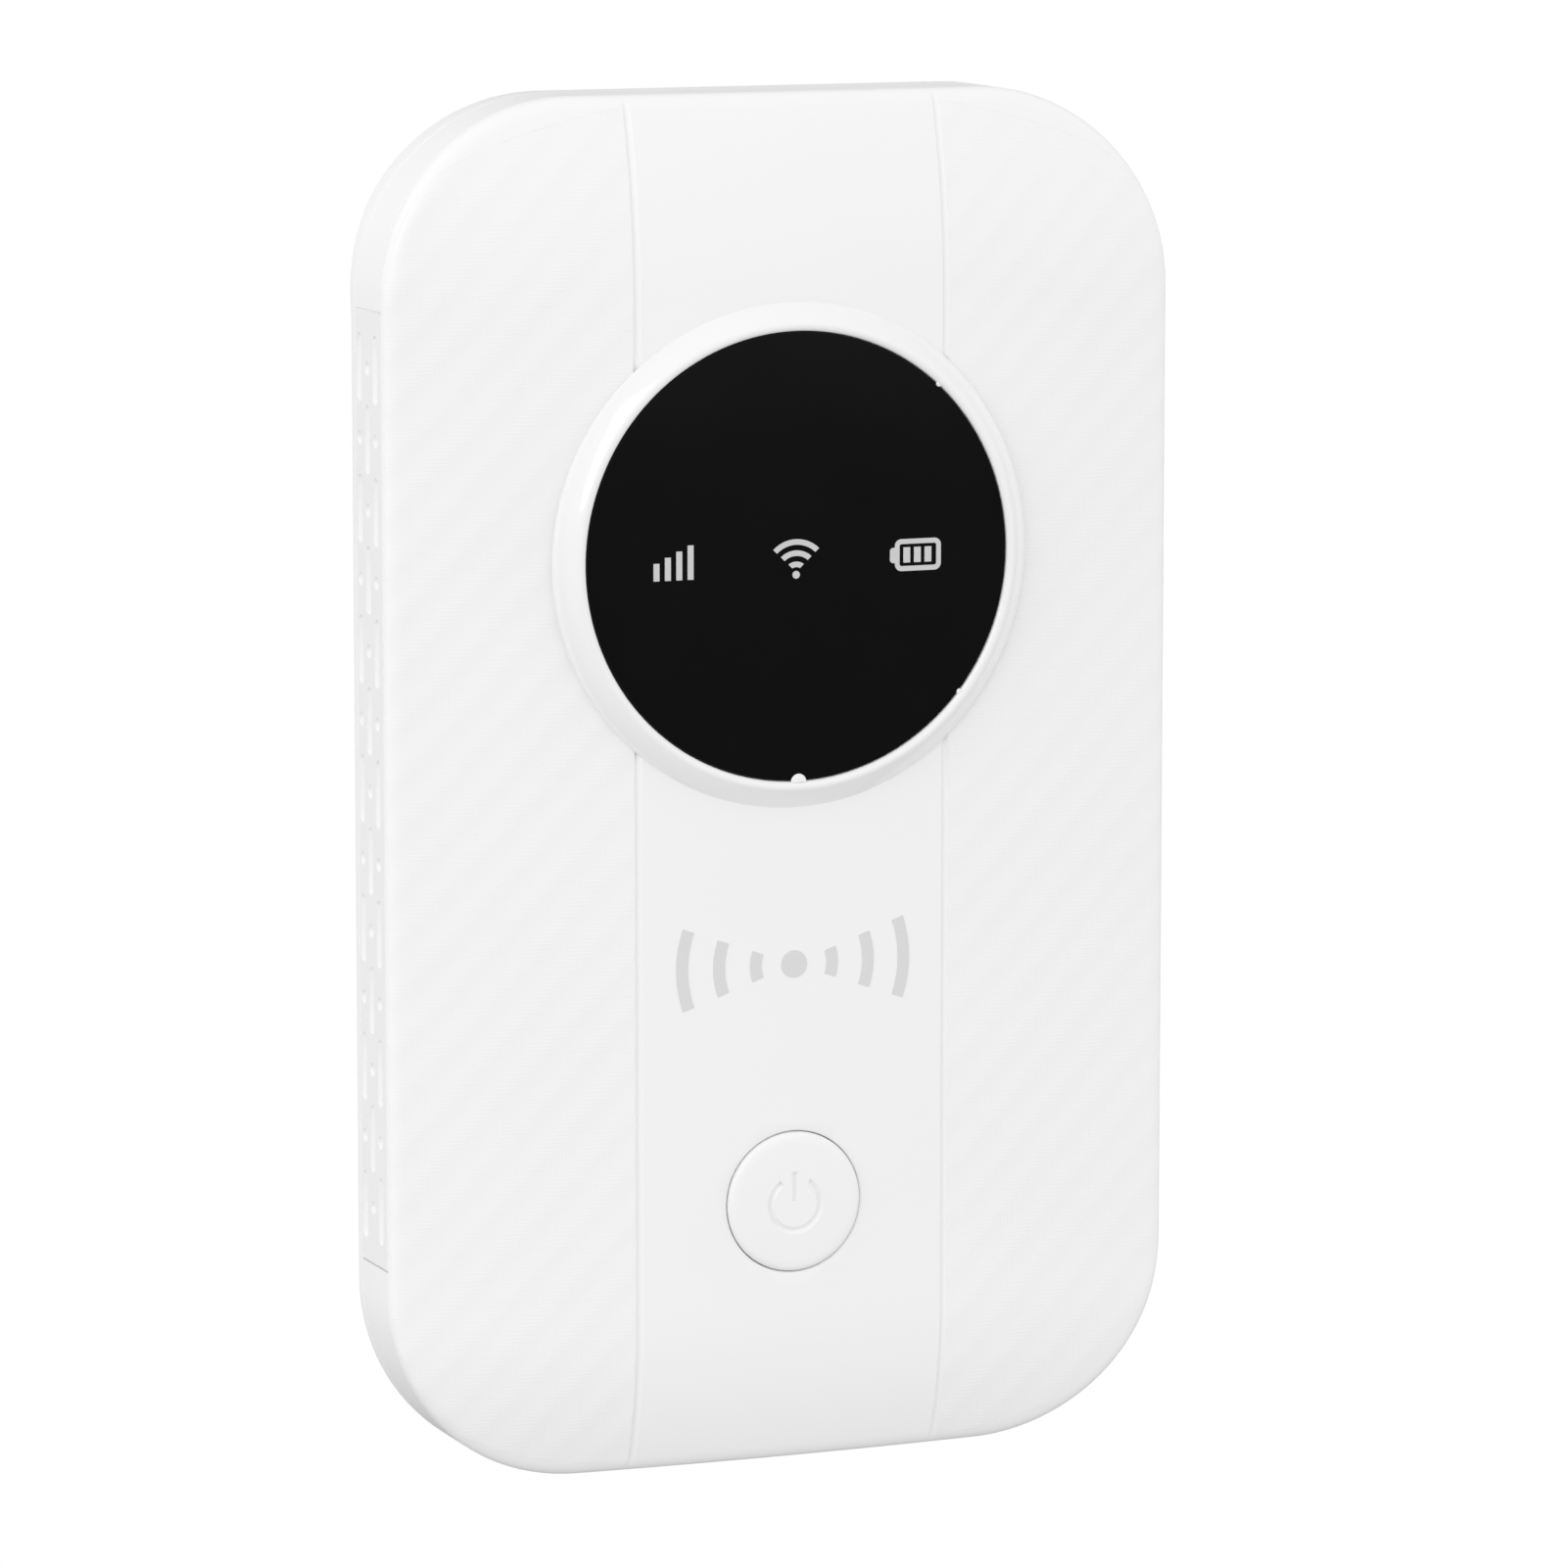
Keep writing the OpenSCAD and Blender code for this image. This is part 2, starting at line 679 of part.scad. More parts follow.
module back_cover() stand() color("white") difference() {
    union() {
        difference() {
            back_form(0, rear_seam_z - seam_gap);
            back_form(back_t, rear_seam_z + 1);
        }
        // Lip that enters the frame
        difference() {
            slab(wall_t + seam_gap, rear_seam_z - 1.2, web_bottom_z - 0.5);
            slab(wall_t + seam_gap + 0.8, rear_seam_z - 2, web_bottom_z + 1);
        }
    }
    // Thumbnail notch in the right edge
    translate([body_w / 2 + 1.2, 12, rear_seam_z]) box([4, 8], -0.9, 1);
}

front_shell();
display_ring();
display_window();
window_adhesive();
signal_icon();
wifi_icon();
battery_icon();
front_mark();
power_button();
power_switch();
power_plunger();
light_baffle();
status_leds();
mid_frame();
left_side_strip();
right_side_strip();
frame_screws();
main_board();
wifi_shield();
modem_shield();
modem_chip();
memory_chip();
power_shield();
power_chip();
inductors();
thermal_pad();
usb_shell();
usb_tongue();
usb_contacts();
sim_base();
sim_cover();
sim_contacts();
reset_switch();
reset_plunger();
battery_block();
battery_springs();
main_antenna();
diversity_antenna();
wifi_antenna();
antenna_clips();
bay_label();
battery_pack();
battery_cap();
battery_pads();
back_cover();
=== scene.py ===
import json
import math

import bmesh
import bpy
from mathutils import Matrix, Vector

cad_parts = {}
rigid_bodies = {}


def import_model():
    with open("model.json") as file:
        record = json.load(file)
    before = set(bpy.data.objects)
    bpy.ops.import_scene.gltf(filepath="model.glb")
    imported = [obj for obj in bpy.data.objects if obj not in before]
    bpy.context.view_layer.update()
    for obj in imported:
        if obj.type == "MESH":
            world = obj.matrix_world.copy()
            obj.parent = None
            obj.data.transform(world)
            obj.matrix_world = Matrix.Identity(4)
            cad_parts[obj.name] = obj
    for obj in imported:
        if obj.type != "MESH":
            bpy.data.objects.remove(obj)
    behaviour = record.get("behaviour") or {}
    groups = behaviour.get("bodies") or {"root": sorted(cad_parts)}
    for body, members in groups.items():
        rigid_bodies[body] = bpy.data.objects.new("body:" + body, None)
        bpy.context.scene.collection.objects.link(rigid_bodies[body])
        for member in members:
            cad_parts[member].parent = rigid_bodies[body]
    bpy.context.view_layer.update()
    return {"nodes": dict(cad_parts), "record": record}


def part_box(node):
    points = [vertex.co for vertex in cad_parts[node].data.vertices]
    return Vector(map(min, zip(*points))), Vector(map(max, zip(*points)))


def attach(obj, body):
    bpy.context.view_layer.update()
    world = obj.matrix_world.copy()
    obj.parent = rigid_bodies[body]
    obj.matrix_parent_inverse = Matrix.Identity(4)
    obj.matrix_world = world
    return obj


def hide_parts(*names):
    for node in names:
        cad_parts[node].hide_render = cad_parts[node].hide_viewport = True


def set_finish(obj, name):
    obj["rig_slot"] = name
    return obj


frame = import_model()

# Lengths below are in millimetres and become metres when a mesh is made. A place on the body
# is (x, z, d): across, up, and d behind the middle of the front face.
MM = 0.001


def box_mm(node):
    lo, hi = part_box(node)
    return [round(v / MM, 2) for v in lo], [round(v / MM, 2) for v in hi]


# ---------------------------------------------------------------- sizes from the frame
shell_lo, shell_hi = box_mm("front_shell")
ring_lo, ring_hi = box_mm("display_ring")
window_lo, window_hi = box_mm("display_window")
button_lo, button_hi = box_mm("power_button")
cover_hi = box_mm("back_cover")[1]
strip_lo, strip_hi = box_mm("left_side_strip")
pack_lo, pack_hi = box_mm("battery_pack")
cap_lo, cap_hi = box_mm("battery_cap")

WIDTH = shell_hi[0] - shell_lo[0]
HEIGHT = shell_hi[2] - shell_lo[2]
RING_RISE = 1.0
FACE_Y = ring_lo[1] + RING_RISE
DEPTH = cover_hi[1] - FACE_Y
DISC_Z = (ring_lo[2] + ring_hi[2]) / 2
RING_R = (ring_hi[0] - ring_lo[0]) / 2
DISC_R = (window_hi[0] - window_lo[0]) / 2
BUTTON_Z = (button_lo[2] + button_hi[2]) / 2
BUTTON_TOP = button_lo[1] - FACE_Y
STRIP_LOW, STRIP_HIGH = strip_lo[2], strip_hi[2]

# ---------------------------------------------------------------- shape of the body
CORNER_R = 14.4
CROWN_FALL = 1.9
TOP_FALL, TOP_LEN = 2.3, 14.4
BOTTOM_FALL, BOTTOM_LEN = 2.2, 11.0
BACK_FALL, BACK_LEN = 3.7, 10.0
BACK_TOP_FILL, BACK_TURN_Z, BACK_TURN = 0.38, HEIGHT - 17.0, 12.0
WALL_T = 1.5
SHELL_T = 1.3
BACK_T = 1.2
EDGE_R = 1.1
EDGE_DROP = 0.75
REAR_SEAM = 8.3
SEAM_GAP = 0.07
LAND = 0.07
STRIP_GAP = 0.03
STRIP_BEVEL = 0.15

GROOVE_X = 11.8
GROOVE_HALF = 0.29
GROOVE_DEPTH = 0.17
GROOVE_SKEW = 0.35

BUTTON_R = 5.1
BUTTON_GAP = 0.06
RING_SPIGOT = RING_R - 0.5
SEAT_D = 0.8


def arc_radius(run, drop):
    return (run * run + drop * drop) / (2 * drop)


CROWN_R = arc_radius(WIDTH / 2, CROWN_FALL)
TOP_R = arc_radius(TOP_LEN, TOP_FALL)
BOTTOM_R = arc_radius(BOTTOM_LEN, BOTTOM_FALL)
BACK_R = arc_radius(BACK_LEN, BACK_FALL)


def arc_drop(radius, run):
    run = max(run, 0.0)
    return radius - math.sqrt(radius * radius - run * run)


def face_depth(x, z):
    """How far the front face lies behind its own middle."""
    ends = arc_drop(TOP_R, z - (HEIGHT - TOP_LEN)) + arc_drop(BOTTOM_R, BOTTOM_LEN - z)
    return arc_drop(CROWN_R, abs(x)) + ends


def outline_normal(x, z):
    """Outward direction of the body's outline nearest to a place on its edge."""
    far_x = WIDTH / 2 - CORNER_R
    dx = math.copysign(max(abs(x) - far_x, 0.0), x)
    dz = min(z - CORNER_R, 0.0) + max(z - (HEIGHT - CORNER_R), 0.0)
    size = math.hypot(dx, dz)
    return dx / size, dz / size


def rim_depth(x, z):
    """Depth at which the front shell's rounded edge reaches the side wall at (x, z)."""
    nx, nz = outline_normal(x, z)
    inner = face_depth(x - nx * EDGE_R, z - nz * EDGE_R)
    return 2 * face_depth(x - nx * EDGE_R / 2, z - nz * EDGE_R / 2) - inner + EDGE_DROP


# ---------------------------------------------------------------- mesh helpers
SHARP_ANGLE = 32


def finish_mesh(name, mesh, body, slot, nodes=(), sharp=SHARP_ANGLE):
    """Cleans a mesh and adds it as a piece; a cutter has no body and so no slot."""
    mesh.validate()
    bm = bmesh.new()
    bm.from_mesh(mesh)
    bmesh.ops.remove_doubles(bm, verts=bm.verts, dist=1e-7)
    bmesh.ops.recalc_face_normals(bm, faces=bm.faces)
    bm.to_mesh(mesh)
    bm.free()
    mesh.shade_smooth()
    mesh.set_sharp_from_angle(angle=math.radians(sharp))
    piece = bpy.data.objects.new(name, mesh)
    bpy.context.scene.collection.objects.link(piece)
    if body:
        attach(piece, body)
        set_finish(piece, slot)
    if nodes:
        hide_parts(*nodes)
    return piece


def mesh_of(name, points, faces):
    """Mesh from (x, z, d) places in millimetres."""
    mesh = bpy.data.meshes.new(name)
    mesh.from_pydata([(x * MM, (FACE_Y + d) * MM, z * MM) for x, z, d in points], [], faces)
    return mesh


def rectangle_loop(size, corner, centre=(0.0, None), step=2.0, turns=14):
    """Points and outward normals round a rectangle with round corners, as (x, z, nx, nz)."""
    cx, cz = centre[0], size[1] / 2 if centre[1] is None else centre[1]
    fx, fz = size[0] / 2 - corner, size[1] / 2 - corner
    loop = []
    for quarter, (sx, sz) in enumerate([(1, 1), (-1, 1), (-1, -1), (1, -1)]):
        for i in range(turns + 1):
            a = math.pi / 2 * (quarter + i / turns)
            loop.append((cx + sx * fx + corner * math.cos(a), cz + sz * fz + corner * math.sin(a),
                         math.cos(a), math.sin(a)))
        run = 2 * (fx if quarter % 2 == 0 else fz)
        count = max(int(run / step), 1)
        x, z, nx, nz = loop[-1]
        for i in range(1, count):
            t = run * i / count
            loop.append((x - nz * t, z + nx * t, nx, nz))
    return loop


BODY_LOOP = rectangle_loop((WIDTH, HEIGHT), CORNER_R, step=1.6, turns=26)


def rings_at(loop, profile):
    """One ring of points for each (inset, depth) of the profile; depth may be a function of (x, z)."""
    return [
        [(x - nx * inset, z - nz * inset, depth(x, z) if callable(depth) else depth)
         for x, z, nx, nz in loop]
        for inset, depth in profile
    ]


def loft(rings, closed=True):
    """Faces between rings of equal length; an open loft is closed with a flat face at each end."""
    n = len(rings[0])
    points = [p for ring in rings for p in ring]
    spans = len(rings) if closed else len(rings) - 1
    faces = []
    for i in range(spans):
        a, b = i * n, (i + 1) % len(rings) * n
        faces += [(a + j, a + (j + 1) % n, b + (j + 1) % n, b + j) for j in range(n)]
    if not closed:
        faces.append(tuple(range(n)))
        faces.append(tuple(range(len(points) - n, len(points))))
    return points, faces


def spin(profile, centre_z, segments=160, centre_x=0.0):
    """One circle of points for each (radius, depth) of the profile."""
    angles = [2 * math.pi * i / segments for i in range(segments)]
    return [
        [(centre_x + r * math.cos(a), centre_z + r * math.sin(a), d) for a in angles]
        for r, d in profile
    ]


def round_corners(points, radius, steps=5):
    """Open run of (u, v) points with each inner corner rounded."""
    out = [points[0]]
    for before, here, after in zip(points, points[1:], points[2:]):
        b, h, a = Vector(before), Vector(here), Vector(after)
        reach = min(radius, (b - h).length / 2, (a - h).length / 2)
        p, q = h + (b - h).normalized() * reach, h + (a - h).normalized() * reach
        for i in range(steps + 1):
            t = i / steps
            out.append(tuple(p * (1 - t) ** 2 + h * 2 * t * (1 - t) + q * t * t))
    out.append(points[-1])
    return out


def boolean(target, others, operation="DIFFERENCE"):
    """Applies the others to the target in turn and deletes them."""
    for other in others:
        change = target.modifiers.new("change", "BOOLEAN")
        change.operation = operation
        change.solver = "EXACT"
        change.object = other
    bpy.context.view_layer.update()
    solid = target.evaluated_get(bpy.context.evaluated_depsgraph_get())
    mesh = bpy.data.meshes.new_from_object(solid)
    target.modifiers.clear()
    old = target.data
    target.data = mesh
    bpy.data.meshes.remove(old)
    for other in others:
        bpy.data.objects.remove(other)
    mesh.set_sharp_from_angle(angle=math.radians(SHARP_ANGLE))


def tool(points_faces):
    """A solid used only to cut with."""
    return finish_mesh("cutter", mesh_of("cutter", *points_faces), None, None)


def block(x0, x1, z0, z1, d0, d1):
    rings = [[(x0, z0, d), (x1, z0, d), (x1, z1, d), (x0, z1, d)] for d in (d0, d1)]
    return loft(rings, closed=False)


def disc_block(r, d0, d1, centre_z, centre_x=0.0, segments=160):
    return loft(spin([(r, d0), (r, d1)], centre_z, segments, centre_x), closed=False)


# ---------------------------------------------------------------- front shell
def shell_columns(inset):
    """Places across the shell, closer together at the grooves and round the corners."""
    far_x = WIDTH / 2 - CORNER_R
    turns = 26
    flat = [1.2 * i for i in range(1, 10)]
    groove = [GROOVE_X + GROOVE_HALF * t for t in (-1.2, -1, -0.9, -0.5, -0.4, -GROOVE_SKEW, -0.3,
                                                   0, GROOVE_SKEW, 0.45, 0.9, 1, 1.2)]
    wing = [(GROOVE_X + far_x) / 2]
    corner = [far_x + (CORNER_R - inset) * math.sin(math.pi / 2 * i / turns) for i in range(turns + 1)]
    half = flat + groove + wing + corner
    return [-x for x in reversed(half)] + [0.0] + half


def groove_depth(x):
    """Depth of the V-shaped groove at x; its left wall is the steeper one."""
    u = (x - math.copysign(GROOVE_X, x)) / GROOVE_HALF + GROOVE_SKEW
    wall = 1 - GROOVE_SKEW if u < 0 else 1 + GROOVE_SKEW
    return GROOVE_DEPTH * max(1 - abs(u) / wall, 0.0)


def shell_grid(inset, drop, with_groove, rows=72):
    """Grid of points on the face, drawn in by inset and lowered by drop."""
    columns = shell_columns(inset)
    far_x = WIDTH / 2 - CORNER_R
    r = CORNER_R - inset
    grid = []
    for x in columns:
        over = max(abs(x) - far_x, 0.0)
        reach = math.sqrt(max(r * r - over * over, 0.0))
        low, high = CORNER_R - reach, HEIGHT - CORNER_R + reach
        dip = groove_depth(x) if with_groove else 0.0
        heights = [low + (high - low) * j / rows for j in range(rows + 1)]
        grid.append([(x, z, face_depth(x, z) + drop + dip) for z in heights])
    return grid


def grid_faces(columns, rows, start):
    return [
        (start + i * rows + j, start + (i + 1) * rows + j,
         start + (i + 1) * rows + j + 1, start + i * rows + j + 1)
        for i in range(columns - 1) for j in range(rows - 1)
    ]


def border(columns, rows, start):
    """Indices round the edge of a grid, in order."""
    bottom = [i * rows for i in range(columns)]
    right = [(columns - 1) * rows + j for j in range(1, rows)]
    top = [i * rows + rows - 1 for i in reversed(range(columns - 1))]
    left = [j for j in reversed(range(1, rows - 1))]
    return [start + k for k in bottom + right + top + left]


def front_shell():
    outer = shell_grid(EDGE_R, 0.0, True)
    inner = shell_grid(WALL_T + 0.3, SHELL_T, False)
    columns, rows = len(outer), len(outer[0])
    points = [p for column in outer for p in column]
    inner_start = len(points)
    points += [p for column in inner for p in column]
    faces = grid_faces(columns, rows, 0) + grid_faces(columns, rows, inner_start)
    previous = border(columns, rows, 0)
    edge = []
    for k in previous:
        x, z, d = points[k]
        nx, nz = outline_normal(x, z)
        wall_x, wall_z = x + nx * EDGE_R, z + nz * EDGE_R
        edge.append((x, z, d, nx, nz, rim_depth(wall_x, wall_z)))
    steps = 7
    rings = []
    for s in range(1, steps + 1):
        t = s / steps
        ring = []
        for x, z, d, nx, nz, rim in edge:
            out = EDGE_R * (1 - (1 - t) ** 2)
            bend = rim - EDGE_DROP
            ring.append((x + nx * out, z + nz * out,
                         d * (1 - t) ** 2 + bend * 2 * t * (1 - t) + rim * t * t))
        rings.append(ring)
    for inset, extra in ((LAND, LAND), (WALL_T + 0.1, LAND)):
        rings.append([(x + nx * (EDGE_R - inset), z + nz * (EDGE_R - inset), rim + extra)
                      for x, z, d, nx, nz, rim in edge])
    for ring in rings:
        start = len(points)
        points += ring
        now = list(range(start, start + len(ring)))
        n = len(now)
        faces += [(previous[i], previous[(i + 1) % n], now[(i + 1) % n], now[i]) for i in range(n)]
        previous = now
    last = border(columns, rows, inner_start)
    n = len(last)
    faces += [(previous[i], previous[(i + 1) % n], last[(i + 1) % n], last[i]) for i in range(n)]
    shell = finish_mesh("shell_front", mesh_of("shell_front", points, faces), "housing",
                        "white_plastic", ["front_shell"])
    mouth = tool(disc_block(RING_SPIGOT + 0.03, -2, 6, DISC_Z))
    hole = tool(button_hole())
    boolean(shell, [mouth, hole])
    return shell


def button_hole():
    """Cutter for the button's hole, whose rim on the face is slightly rounded."""
    r = BUTTON_R + BUTTON_GAP
    profile = [(r + 0.22, -1.0), (r + 0.22, -0.02), (r + 0.1, 0.03), (r + 0.03, 0.1), (r, 0.22),
               (r, 6.0)]
    return loft([
        [(x, z, d + face_depth(x, z)) for x, z, d in circle] for circle in spin(profile, BUTTON_Z)
    ], closed=False)


# ---------------------------------------------------------------- display
RING_SLOPE = math.radians(36)
CREST_OUT = 0.42
CREST_ROUND = 0.55
FOOT_IN = 0.25
LEDGE_IN = 0.9
LEDGE_T = 0.4
# (angle round the window in degrees, radius)
RING_TABS = ((-90, 0.6), (48, 0.24), (-39.5, 0.24))


def display_ring():
    """Raised ring: round inner lip, straight slope, and a skirt down to the curved face."""
    lift = -RING_RISE
    crest = [(DISC_R + CREST_OUT + CREST_ROUND * math.sin(RING_SLOPE * i / 4),
              lift + 0.01 + CREST_ROUND * (1 - math.cos(RING_SLOPE * i / 4))) for i in range(5)]
    foot_r = RING_R - FOOT_IN
    foot_d = crest[-1][1] + (foot_r - crest[-1][0]) * math.tan(RING_SLOPE)
    profile = [
        (DISC_R + 0.04, SEAT_D), (DISC_R + 0.04, lift + 0.32), (DISC_R + 0.1, lift + 0.16),
        (DISC_R + 0.24, lift + 0.05), *crest, (foot_r, foot_d), (RING_R, None), (RING_SPIGOT, None),
        (RING_SPIGOT, SEAT_D + LEDGE_T), (DISC_R - LEDGE_IN, SEAT_D + LEDGE_T),
        (DISC_R - LEDGE_IN, SEAT_D),
    ]
    rings = [
        [(x, z, face_depth(x, z) if d is None else d) for x, z, d in circle]
        for circle, (_, d) in zip(spin([(r, d) for r, d in profile], DISC_Z, 200), profile)
    ]
    ring = finish_mesh("ring", mesh_of("ring", *loft(rings)), "housing", "ring_plastic",
                       ["display_ring"], sharp=40)
    for i, (angle, r) in enumerate(RING_TABS):
        half_round_tab(f"ring_tab_{i + 1}", math.radians(angle), r)
    return ring


def half_round_tab(name, angle, r):
    """Small half-round tab of the ring that reaches over the window's edge."""
    reach = DISC_R + 0.1
    front = window_lo[1] - FACE_Y
    rings = []
    for size, d in ((r, front), (0.88 * r, front - 0.07), (0.55 * r, front - 0.11)):
        arc = [math.pi / 2 + math.pi * i / 20 for i in range(21)]
        flat = [(reach + size * math.cos(a), size * math.sin(a)) for a in arc]
        rings.append([
            (u * math.cos(angle) - v * math.sin(angle),
             DISC_Z + u * math.sin(angle) + v * math.cos(angle), d)
            for u, v in flat
        ])
    finish_mesh(name, mesh_of(name, *loft(rings, closed=False)), "housing", "ring_plastic")


def display_window():
    front = window_lo[1] - FACE_Y
    back = window_hi[1] - FACE_Y
    profile = [(DISC_R - 0.14, front), (DISC_R - 0.05, front + 0.03), (DISC_R, front + 0.12),
               (DISC_R, back)]
    rings = spin(profile, DISC_Z, 200)
    finish_mesh("window", mesh_of("window", *loft(rings, closed=False)), "housing", "window_black",
                ["display_window"])


# ---------------------------------------------------------------- printed mark
MARK_DOT_R = 1.0
WAVE_RADII = (3.4, 6.2, 9.0)
WAVE_T = 0.9
WAVE_ANGLE = 19.5
INK_LIFT = 0.03


def ribbon(name, inner, outer, start, end, centre, lift, body, slot):
    """Printed arc that follows the front face; angles in degrees."""
    steps = 20
    points = []
    for i in range(steps + 1):
        a = math.radians(start + (end - start) * i / steps)
        for r in (inner, (inner + outer) / 2, outer):
            x, z = centre[0] + r * math.cos(a), centre[1] + r * math.sin(a)
            points.append((x, z, face_depth(x, z) - lift))
    top = len(points)
    points += [(x, z, d + 1.5 * lift) for x, z, d in points]
    faces = []
    for i in range(steps):
        for j in range(2):
            a = i * 3 + j
            faces.append((a, a + 1, a + 4, a + 3))
            faces.append((top + a, top + a + 1, top + a + 4, top + a + 3))
        for j in (0, 2):
            a = i * 3 + j
            faces.append((a, a + 3, top + a + 3, top + a))
    for i in (0, steps):
        for j in range(2):
            a = i * 3 + j
            faces.append((a, a + 1, top + a + 1, top + a))
    finish_mesh(name, mesh_of(name, points, faces), body, slot)


def front_mark():
    lo, hi = box_mm("front_mark")
    centre = (0.0, (lo[2] + hi[2]) / 2)
    dot = [
        [(x, z, face_depth(x, z) + d) for x, z, _ in circle]
        for circle, d in zip(spin([(MARK_DOT_R, 0.0)] * 2, centre[1], 48), (INK_LIFT / 2, -INK_LIFT))
    ]
    finish_mesh("mark_dot", mesh_of("mark_dot", *loft(dot, closed=False)), "housing", "mark_ink",
                ["front_mark"])
    number = 0
    for side in (0, 180):
        for r in WAVE_RADII:
            number += 1
            ribbon(f"mark_wave_{number}", r - WAVE_T, r, side - WAVE_ANGLE, side + WAVE_ANGLE, centre,
                   INK_LIFT, "housing", "mark_ink")


# ---------------------------------------------------------------- power button
def power_button():
    flange = [(button_hi[0], 2.0), (button_hi[0], 1.5), (BUTTON_R, 1.5)]
    top = BUTTON_TOP
    crown = [(BUTTON_R, top + 0.4), (BUTTON_R - 0.05, top + 0.22), (BUTTON_R - 0.18, top + 0.1),
             (BUTTON_R - 0.4, top + 0.035), (BUTTON_R - 0.8, top)]
    stem = [(1.2, button_hi[1] - FACE_Y), (1.2, 2.0)]
    rings = spin(stem + flange + crown, BUTTON_Z, 160)
    cap = finish_mesh("button_cap", mesh_of("button_cap", *loft(rings, closed=False)),
                      "power_button", "white_plastic", ["power_button"])
    boolean(cap, [tool(sign_arc()), tool(sign_bar())])
    return cap


SIGN_R = 1.9
SIGN_HALF = 0.21
SIGN_DEPTH = 0.19
SIGN_LOW = 0.2
SIGN_GAP = 32
SIGN_BAR = (0.12, 2.2)


def groove_section():
    """Section of the sign's groove: (offset from its middle, depth below the cap)."""
    return [(-SIGN_HALF - 0.05, -0.2), (-SIGN_HALF - 0.05, 0.0), (-SIGN_HALF * 0.5, SIGN_DEPTH * 0.8),
            (0.0, SIGN_DEPTH), (SIGN_HALF * 0.5, SIGN_DEPTH * 0.8), (SIGN_HALF + 0.05, 0.0),
            (SIGN_HALF + 0.05, -0.2)]


def sign_arc():
    """Cutter for the open circle of the power sign."""
    steps = 48
    rings = []
    for i in range(steps + 1):
        a = math.radians(90 + SIGN_GAP + (360 - 2 * SIGN_GAP) * i / steps)
        rings.append([
            ((SIGN_R + u) * math.cos(a), BUTTON_Z - SIGN_LOW + (SIGN_R + u) * math.sin(a),
             BUTTON_TOP + v)
            for u, v in groove_section()
        ])
    return loft(rings, closed=False)


def sign_bar():
    """Cutter for the upright bar of the power sign."""
    return loft([[(u, z, BUTTON_TOP + v) for u, v in groove_section()]
                 for z in (BUTTON_Z + SIGN_BAR[0], BUTTON_Z + SIGN_BAR[1])], closed=False)


# ---------------------------------------------------------------- frame
RESET_HOLE_R = 1.0
SCREW_HOLE_R = 0.7
SCREW_SPAN = 3.2


def mid_frame():
    profile = [
        (WALL_T, lambda x, z: rim_depth(x, z) + 2 * LAND),
        (LAND, lambda x, z: rim_depth(x, z) + LAND + SEAM_GAP),
        (0.0, lambda x, z: rim_depth(x, z) + 2 * LAND + SEAM_GAP),
        (0.0, REAR_SEAM - LAND),
        (LAND, REAR_SEAM),
        (WALL_T, REAR_SEAM),
    ]
    wall = finish_mesh("frame_wall", mesh_of("frame_wall", *loft(rings_at(BODY_LOOP, profile))),
                       "housing", "white_plastic", ["mid_frame"])
    pockets = []
    for side in (-1, 1):
        outer, inner = side * (WIDTH / 2 + 1), side * (WIDTH / 2 - 0.85)
        pockets.append(tool(block(min(outer, inner), max(outer, inner), STRIP_LOW - STRIP_GAP,
                                  STRIP_HIGH + STRIP_GAP, 0.0, REAR_SEAM + 1)))
    usb_lo, usb_hi = box_mm("usb_shell")
    pockets.append(tool(port_mouth(usb_lo, usb_hi)))
    boolean(wall, pockets)
    frame_web(usb_lo, usb_hi)


def port_mouth(lo, hi):
    """Cutter for the USB port's mouth in the bottom wall, a rounded rectangle along Z."""
    grow = 0.3
    w, h = hi[0] - lo[0] + 2 * grow, hi[1] - lo[1] + 2 * grow
    cy = (lo[1] + hi[1]) / 2 - FACE_Y
    loop = rectangle_loop((w, h), 0.6, centre=(0.0, cy), step=4, turns=6)
    return loft([[(x, z, d) for x, d, _, _ in loop] for z in (-2.0, WALL_T + 1.5)], closed=False)


